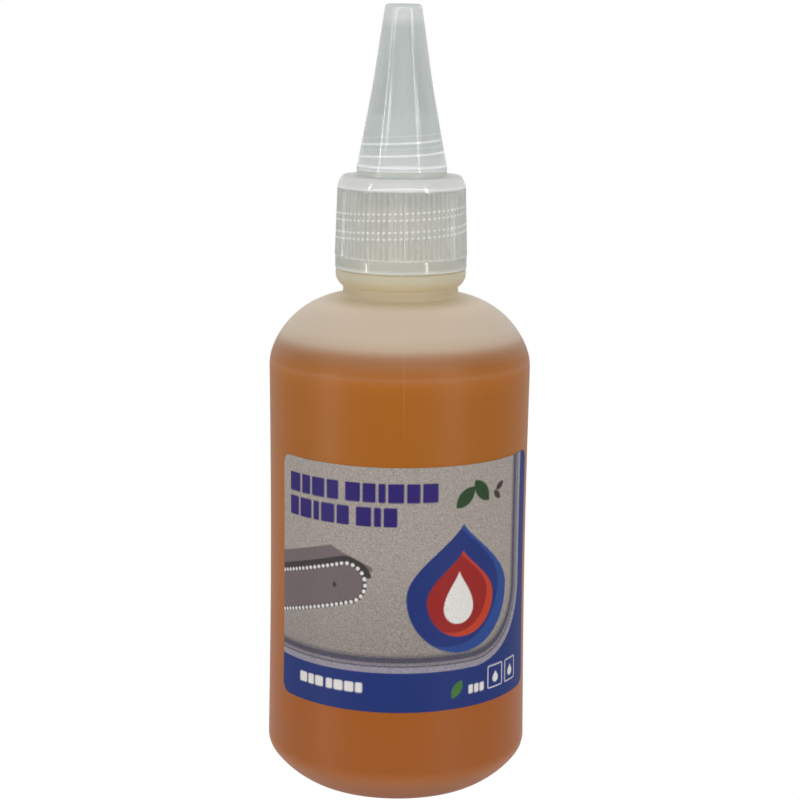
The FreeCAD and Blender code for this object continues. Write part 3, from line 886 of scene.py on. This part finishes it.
class OILBOTTLE_OT_label(Operator):
    """Printed film label on the front"""

    bl_idname = "oil_bottle.label"
    bl_label = "Label"

    def execute(self, context):
        scene = context.scene
        shell, label = scene.oil_bottle_shell, scene.oil_bottle_label
        bottom, top = low("label"), high("label")
        radius = shell.body_radius
        wide, tall = label.spread * radius, top - bottom
        columns, rows = round(wide / label.spacing), round(tall / label.spacing)
        up = np.linspace(0.0, tall, rows + 1)[None, :] + np.zeros((columns + 1, 1))
        from_end = np.minimum(up, tall - up)
        cut = label.corner - np.sqrt(label.corner ** 2 - np.maximum(label.corner - from_end, 0.0) ** 2)
        across = np.linspace(-1.0, 1.0, columns + 1)[:, None] * (wide / 2 - cut)
        tones = print_colours(label, scene.oil_bottle_finish, across, up, wide, tall)
        face = side_radius(shell, bottom + up) + label.glue + label.thickness
        under = face - label.thickness
        angles = FRONT + label.turn + across / radius
        index = np.arange(angles.size).reshape(angles.shape)
        rim = np.concatenate([index[:-1, 0], index[-1, :-1], index[:0:-1, -1], index[0, :0:-1]])
        rim_under = angles.size + np.arange(len(rim))
        edge = np.stack([rim, rim_under, np.roll(rim_under, -1), np.roll(rim, -1)], axis=-1)
        points = turned_points(angles, face, bottom + up)
        points = np.concatenate([points, turned_points(angles, under, bottom + up)[rim]])
        piece = mesh_object("front_label", points, grid_faces(index[:-1], index[1:]) + edge.tolist())
        colours = tones.reshape(-1, 4)
        colours = np.concatenate([colours, colours[rim]])
        layer = piece.data.color_attributes.new("print", "FLOAT_COLOR", "POINT")
        layer.data.foreach_set("color", colours.ravel())
        dressed(piece, label_material(), "bottle_body", "label")
        return {"FINISHED"}


class OILBOTTLE_OT_cap(Operator):
    """Ribbed screw cap with its threaded spout, and the gasket in it"""

    bl_idname = "oil_bottle.cap"
    bl_label = "Screw Cap"

    def execute(self, context):
        scene = context.scene
        shell, cap = scene.oil_bottle_shell, scene.oil_bottle_cap
        bottom, spout_top = low("screw_cap") - cap.skirt_drop, high("screw_cap")
        ceiling = high("cap_gasket") + cap.seal_gap
        top = ceiling + cap.plate
        bore = shell.neck_bore_radius + shell.neck_wall + cap.thread_room
        mouth = bore + cap.mouth_chamfer
        skirt = reach("screw_cap")
        band = skirt - cap.band_step
        band_top = low("screw_cap") + cap.band_height
        rib_top_radius = skirt - cap.rib_draft
        edge_low = top - cap.edge_chamfer
        rib_top = edge_low - cap.bevel_height
        shoulder = rib_top_radius - cap.bevel_width
        spout = cap.spout_bore + cap.spout_wall
        outside = outline(
            (mouth, bottom),
            ((band, bottom), 2),
            ((band, band_top), 5),
            ((skirt, band_top + cap.band_slope), 3),
            ((rib_top_radius, rib_top), 64),
            ((shoulder, edge_low), 6),
            ((shoulder - cap.edge_chamfer, top), 3),
            ((spout, top), 3),
            ((spout, spout_top), 40),
            ((cap.spout_bore, spout_top), 2),
        )
        inside = outline(
            (cap.spout_bore, spout_top),
            ((cap.spout_bore, ceiling), 3),
            ((bore, ceiling), 3),
            ((bore, bottom + cap.mouth_chamfer), 60),
        )
        for corner, radius, steps in (
            ((band, bottom), cap.band_round, 3),
            ((rib_top_radius, rib_top), cap.shoulder_round, 8),
            ((shoulder, edge_low), cap.edge_round, 4),
        ):
            outside = softened(outside, corner, radius, steps)
        profile = joined(outside, inside)
        angles, radii, heights = turned_grid(profile, cap.rib_count * RIB_SIDES)
        outer = np.arange(len(profile)) < len(outside)
        ribbed = outer & (radii[0] > shoulder)
        run_in, stop, run_out, power = 0.4 * MM, 0.3 * MM, 0.5 * MM, 1.5
        fade = smooth_step((heights - band_top) / run_in) * smooth_step((rib_top - stop - heights) / run_out)
        grooves = 0.5 - 0.5 * np.cos(angles * cap.rib_count)
        radii -= ribbed * fade * cap.rib_depth * grooves ** power
        on_spout = outer & (radii[0] > cap.spout_bore) & (heights[0] > top) & (radii[0] < shoulder)
        spout_thread, cap_thread = scene.oil_bottle_spout_thread, scene.oil_bottle_cap_thread
        radii += on_spout * thread_share(angles, heights, spout_thread, top) * spout_thread.depth
        in_bore = ~outer & (heights[0] < ceiling) & (radii[0] > spout)
        bead_top = low("screw_cap") - cap.bead_gap
        radii -= in_bore * thread_share(angles, heights, cap_thread, bead_top) * cap_thread.depth
        piece = turned_piece("ribbed_cap", angles, radii, heights)
        crests = ribbed * fade * (1 - grooves) ** 2
        neck_lines = thread_flank(angles, heights, scene.oil_bottle_neck_thread, bead_top)
        spout_lines = thread_flank(angles, heights, spout_thread, top)
        off_spout = outer & (radii > spout + 2 * spout_thread.depth)
        # painted highlights and painted light, kept as the milky share: bright rib crests, the neck thread's
        # flanks as bright lines through the ribs, the spout lifted out of its shade with bright lines on its
        # thread, and bright lines round the rim
        spout_painted_light, spout_line_highlight, crest_highlight, crest_line_highlight = 0.3, 0.4, 0.1, 0.9
        milky = on_spout * (spout_painted_light + spout_line_highlight * spout_lines)
        milky += crests * (crest_highlight + crest_line_highlight * neck_lines)
        milky += off_spout * self.lit_rim(cap, heights, bottom, band_top, rib_top)
        keep_share(piece, "milky", milky)
        keep_share(piece, "matte", off_spout & (heights > top - HAIR) & (radii < shoulder))
        finish = scene.oil_bottle_finish
        material = plastic(
            "glossy_cap_plastic", finish.cap, roughness=0.08, transmission=0.53, edge=finish.edge
        )
        dressed(piece, material, "cap_body", "screw_cap")
        # the gasket's dark tone is partly painted shade of the hollow under the cap's top
        redressed("cap_gasket", plastic("gasket_foam", finish.gasket, roughness=0.7, transmission=0.0))
        return {"FINISHED"}

    def lit_rim(self, cap, heights, bottom, band_top, rib_top):
        """Painted highlight share of the outside: bright lines on the lower corner of the sloped shoulder and
        on the band's two edges, and a lighter slope itself."""
        edges = lit_edges(
            heights,
            (rib_top - 0.05 * MM, 0.4 * MM, 0.7),
            (band_top + cap.band_slope, 0.3 * MM, 0.25),
            (bottom + cap.band_round, 0.3 * MM, 0.45),
        )
        slope_highlight, slope_start = 0.5, 0.3 * MM
        return edges + slope_highlight * smooth_step((heights - rib_top) / slope_start)


class OILBOTTLE_OT_nozzle(Operator):
    """Pointed nozzle with its threaded socket, and the washer under it"""

    bl_idname = "oil_bottle.nozzle"
    bl_label = "Nozzle"

    def execute(self, context):
        scene = context.scene
        cap, nozzle = scene.oil_bottle_cap, scene.oil_bottle_nozzle
        foot, tip = low("nozzle"), high("nozzle")
        flange = reach("nozzle")
        socket = cap.spout_bore + cap.spout_wall + nozzle.thread_room
        flange_top = foot + nozzle.flange_height
        cone_foot = flange - nozzle.flare_step
        cone_low = flange_top + nozzle.flare_height
        socket_top = high("screw_cap") + nozzle.socket_gap
        hollow = socket - nozzle.socket_step
        hollow_low = socket_top + nozzle.socket_step
        hollow_top = tip - nozzle.tip_wall
        hollow_tip = nozzle.tip_radius - nozzle.tip_side_wall
        knee = foot + nozzle.knee_height
        inside = outline(
            (0.0, hollow_top),
            ((hollow_tip, hollow_top), 3),
            ((hollow, hollow_low), 30),
            ((socket, socket_top), 4),
            ((socket, foot), 56),
        )
        outside = outline(
            (socket, foot),
            ((flange, foot), 3),
            ((flange, flange_top), 4),
            ((cone_foot, cone_low), 3),
            ((nozzle.knee_radius, knee), 90),
            ((nozzle.tip_radius, tip), 40),
            ((0.0, tip), 12),
        )
        for corner, radius, steps in (
            ((nozzle.knee_radius, knee), nozzle.knee_round, 8),
            ((nozzle.tip_radius, tip), nozzle.tip_round, 6),
            ((flange, flange_top), nozzle.flange_round, 3),
        ):
            outside = softened(outside, corner, radius, steps)
        profile = joined(inside, outside)
        angles, radii, heights = turned_grid(profile, NOZZLE_SIDES)
        inner = np.arange(len(profile)) < len(inside)
        in_socket = inner & (heights[0] < socket_top) & (heights[0] > foot)
        thread = scene.oil_bottle_nozzle_thread
        top = high("cap_gasket") + cap.seal_gap + cap.plate
        radii -= in_socket * thread_share(angles, heights, thread, top) * thread.depth
        piece = turned_piece("pointed_nozzle", angles, radii, heights)
        inner_line_highlight, slope_highlight, slope_start, tip_skin = 0.3, 0.4, 0.2 * MM, 0.1 * MM
        on_slope = smooth_step((heights - socket_top + slope_start) / slope_start) * (heights < hollow_low)
        # painted highlights, kept as the milky share: bright lines on the socket thread's flanks and on its
        # top step
        milky = inner_line_highlight * in_socket * thread_flank(angles, heights, thread, top)
        milky += inner * slope_highlight * on_slope
        milky += ~inner * self.lit_lines(angles, heights, thread, top)
        keep_share(piece, "milky", milky[:, 1:-1])
        # painted shade: the hollow's inner face takes the darker core tone
        keep_share(piece, "hollow", (inner & (heights > hollow_low))[:, 1:-1])
        keep_share(piece, "matte", (~inner & (heights > tip - tip_skin))[:, 1:-1])
        finish = scene.oil_bottle_finish
        tones = {"edge": finish.edge, "core": finish.core}
        material = plastic(
            "glossy_nozzle_plastic", finish.nozzle, roughness=0.09, transmission=0.43, bend=1.42, **tones
        )
        dressed(piece, material, "nozzle_body", "nozzle")
        redressed("nozzle_washer", plastic("soft_washer", finish.washer, roughness=0.3, transmission=0.0))
        return {"FINISHED"}

    def lit_lines(self, angles, heights, thread, top):
        """Painted highlight share of the outside: bright lines on the thread's flanks, which show through,
        and on the foot's edges, painted light towards the foot, and a whiter haze towards the solid tip.

        A flank that faces down, where the thread's share grows with the height, is the brighter one."""
        foot, tip = low("nozzle"), high("nozzle")
        flank_width, flank_highlight, under_flank_highlight = 0.25 * MM, 0.25, 0.75
        here = thread_share(angles, heights, thread, top)
        above = thread_share(angles, heights + flank_width, thread, top)
        lines = flank_highlight * thread_flank(angles, heights, thread, top)
        lines += under_flank_highlight * np.clip(above - here, 0.0, 1.0)
        edges = lit_edges(
            heights,
            (foot + 0.81 * MM, 0.35 * MM, 0.7),
            (foot + 0.15 * MM, 0.25 * MM, 0.4),
        )
        hazy, foot_run, tip_run, foot_painted_light, tip_haze = 4.0 * MM, 3.0 * MM, 2.0 * MM, 0.2, 0.22
        base = foot_painted_light * smooth_step((foot + hazy - heights) / foot_run)
        point = tip_haze * smooth_step((heights - tip + hazy) / tip_run)
        return lines + edges + base + point


class OILBOTTLE_OT_stage(Operator):
    """White room, tall strip lights, pale floor and camera"""

    bl_idname = "oil_bottle.stage"
    bl_label = "Stage"

    def execute(self, context):
        scene = context.scene
        stage = scene.oil_bottle_stage
        scene.view_settings.view_transform = "Standard"
        scene.cycles.max_bounces = 32
        scene.cycles.diffuse_bounces = 12
        scene.cycles.glossy_bounces = 16
        scene.cycles.transmission_bounces = 32
        self.light_room(scene, stage)
        self.lay_floor()
        for name, angles, size, share in (
            ("left_strip", (-62.0, 0.0, 90.0), (0.6, 0.016), 0.7),
            ("right_strip", (46.0, 0.0, 90.0), (0.6, 0.02), 0.6),
            ("top_strip", (4.0, 26.0, 0.0), (1.2, 0.04), 1.4),
        ):
            self.hang_strip(name, angles, size, share * stage.strip_light)
        self.set_camera(scene, stage)
        return {"FINISHED"}

    def light_room(self, scene, stage):
        """White where the camera sees it. For the light that falls on the object, bright behind it, where +Y
        points, and dimmer on the camera's side."""
        world = bpy.data.worlds.new("white_room")
        scene.world = world
        world.use_nodes = True
        tree = world.node_tree
        seen = tree.nodes["Background"]
        set_inputs(tree, seen, {"Color": WHITE})
        towards_back = {"Value": place_part(tree, "Generated", "Y"), "From Min": -0.35, "From Max": 0.6}
        sides = {"To Min": stage.room_light, "To Max": stage.backdrop_light}
        brightness = add_node(
            tree, "ShaderNodeMapRange", {**towards_back, **sides}, interpolation_type="SMOOTHSTEP"
        )
        lit = {"Color": WHITE, "Strength": brightness.outputs["Result"]}
        light = add_node(tree, "ShaderNodeBackground", lit)
        path = add_node(tree, "ShaderNodeLightPath", {})
        room = either(
            tree, path.outputs["Is Camera Ray"], light.outputs["Background"], seen.outputs["Background"]
        )
        set_inputs(tree, tree.nodes["World Output"], {"Surface": room})

    def lay_floor(self):
        """Pale floor, white where the camera sees it from above, and clear from below."""
        half, under = 3.0, -0.02 * MM
        signs = ((-1, -1), (1, -1), (1, 1), (-1, 1))
        corners = np.array([(right * half, back * half, under) for right, back in signs])
        floor = mesh_object("pale_floor", corners, [(0, 1, 2, 3)])
        material, tree, surface = new_material("pale_floor")
        set_inputs(tree, surface, {"Base Color": (0.8, 0.8, 0.8, 1.0), "Roughness": 0.9})
        white = add_node(tree, "ShaderNodeEmission", {})
        path = add_node(tree, "ShaderNodeLightPath", {})
        side = add_node(tree, "ShaderNodeNewGeometry", {})
        clear = add_node(tree, "ShaderNodeBsdfTransparent", {})
        seen = either(tree, path.outputs["Is Camera Ray"], surface.outputs["BSDF"], white.outputs["Emission"])
        both = either(tree, side.outputs["Backfacing"], seen, clear.outputs["BSDF"])
        set_inputs(tree, tree.nodes["Material Output"], {"Surface": both})
        floor.data.materials.append(material)

    def hang_strip(self, name, angles, size, power):
        """A long narrow area light that faces the cap from a distance.

        The angles, in degrees, turn it round the axis, lift it and roll it. It shines through the clear
        plastics, as the real light does."""
        turn, lift, roll = (math.radians(part) for part in angles)
        away = 0.5
        light = bpy.data.lights.new(name, "AREA")
        light.shape = "RECTANGLE"
        light.size, light.size_y = size
        light.energy = power
        light.use_shadow = False
        lamp = bpy.data.objects.new(name, light)
        around = Matrix.Rotation(turn, 4, "Z") @ Matrix.Rotation(-lift, 4, "X")
        facing = Matrix.Rotation(math.pi / 2, 4, "X") @ Matrix.Rotation(roll, 4, "Z")
        centre = Matrix.Translation((0.0, 0.0, high("screw_cap")))
        lamp.matrix_world = centre @ around @ Matrix.Translation((0.0, -away, 0.0)) @ facing
        bpy.context.scene.collection.objects.link(lamp)

    def set_camera(self, scene, stage):
        camera = bpy.data.objects.new("camera", bpy.data.cameras.new("camera"))
        camera.data.lens = stage.lens
        camera.data.sensor_width = SENSOR
        camera.data.clip_start = 0.01
        place = Matrix.Translation((0.0, -stage.distance, stage.height))
        aim = Matrix.Rotation(stage.yaw, 4, "Z") @ Matrix.Rotation(math.pi / 2 - stage.pitch, 4, "X")
        camera.matrix_world = place @ aim @ Matrix.Rotation(stage.roll, 4, "Z")
        scene.collection.objects.link(camera)
        scene.camera = camera


class OILBOTTLE_PT_pieces(Panel):
    """Lists the pieces of the oil bottle"""

    bl_idname = "OILBOTTLE_PT_pieces"
    bl_label = "Oil Bottle"
    bl_space_type = "VIEW_3D"
    bl_region_type = "UI"
    bl_category = "Oil Bottle"

    def draw(self, context):
        for operator in OPERATORS:
            self.layout.operator(operator.bl_idname)


OPERATORS = (
    OILBOTTLE_OT_shell,
    OILBOTTLE_OT_oil,
    OILBOTTLE_OT_label,
    OILBOTTLE_OT_cap,
    OILBOTTLE_OT_nozzle,
    OILBOTTLE_OT_stage,
)
GROUPS = {
    "oil_bottle_shell": OilBottleShell,
    "oil_bottle_neck_thread": OilBottleThread,
    "oil_bottle_cap_thread": OilBottleThread,
    "oil_bottle_spout_thread": OilBottleThread,
    "oil_bottle_nozzle_thread": OilBottleThread,
    "oil_bottle_cap": OilBottleCap,
    "oil_bottle_nozzle": OilBottleNozzle,
    "oil_bottle_label": OilBottleLabel,
    "oil_bottle_finish": OilBottleFinish,
    "oil_bottle_stage": OilBottleStage,
}
CLASSES = (*dict.fromkeys(GROUPS.values()), *OPERATORS, OILBOTTLE_PT_pieces)


def register():
    for item in CLASSES:
        bpy.utils.register_class(item)
    for name, group in GROUPS.items():
        setattr(bpy.types.Scene, name, PointerProperty(type=group))


def unregister():
    for name in GROUPS:
        delattr(bpy.types.Scene, name)
    for item in reversed(CLASSES):
        bpy.utils.unregister_class(item)


def set_threads(scene):
    """The three threads that differ from the neck's: lead, start over the foot, turns and section."""
    sizes = {
        "oil_bottle_cap_thread": (3.0, 2.8, 1.75, 0.95, 1.25, 0.5),
        "oil_bottle_spout_thread": (2.0, 1.7, 2.75, 0.65, 1.0, 0.4),
        "oil_bottle_nozzle_thread": (2.0, 2.7, 2.0, 0.55, 1.25, 0.75),
    }
    for name, (lead, start, turns, depth, base, crest) in sizes.items():
        thread = getattr(scene, name)
        thread.lead, thread.start, thread.turns = lead * MM, start * MM, turns
        thread.depth, thread.base, thread.crest = depth * MM, base * MM, crest * MM


def main():
    register()
    set_threads(bpy.context.scene)
    for operator in OPERATORS:
        group, name = operator.bl_idname.split(".")
        getattr(getattr(bpy.ops, group), name)()


if __name__ == "__main__":
    main()
